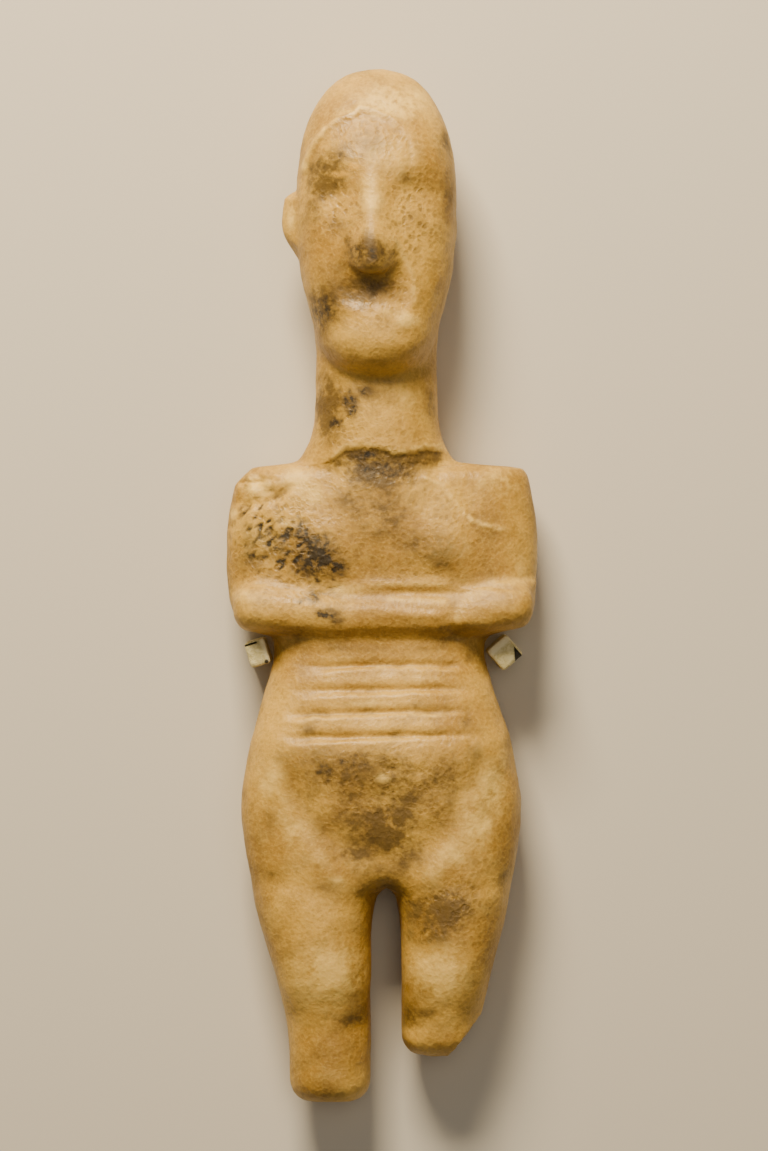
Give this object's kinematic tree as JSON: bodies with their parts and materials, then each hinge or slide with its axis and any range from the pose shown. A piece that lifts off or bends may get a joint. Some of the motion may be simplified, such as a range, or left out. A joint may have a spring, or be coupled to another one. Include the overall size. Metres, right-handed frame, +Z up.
{
  "type": "marble figurine",
  "caption": "Broken marble Cycladic figurine lying on its back, arms folded, waist stopped by square pegs.",
  "frame": {"origin": "middle of the underside, on the surface that the figurine lies on", "axes": "+Y along the figure from the broken legs to the crown, +Z up out of its front, +X to its left arm"},
  "size_m": [0.065, 0.215, 0.0365],
  "materials": {
    "marble": "worn, waxy, honey coloured",
    "cream_sleeve": "matt cream coating, a little wrinkled"
  },
  "bodies": {
    "root": {"figurine": "marble", "right_peg": "cream_sleeve", "left_peg": "cream_sleeve"}
  },
  "joints": []
}
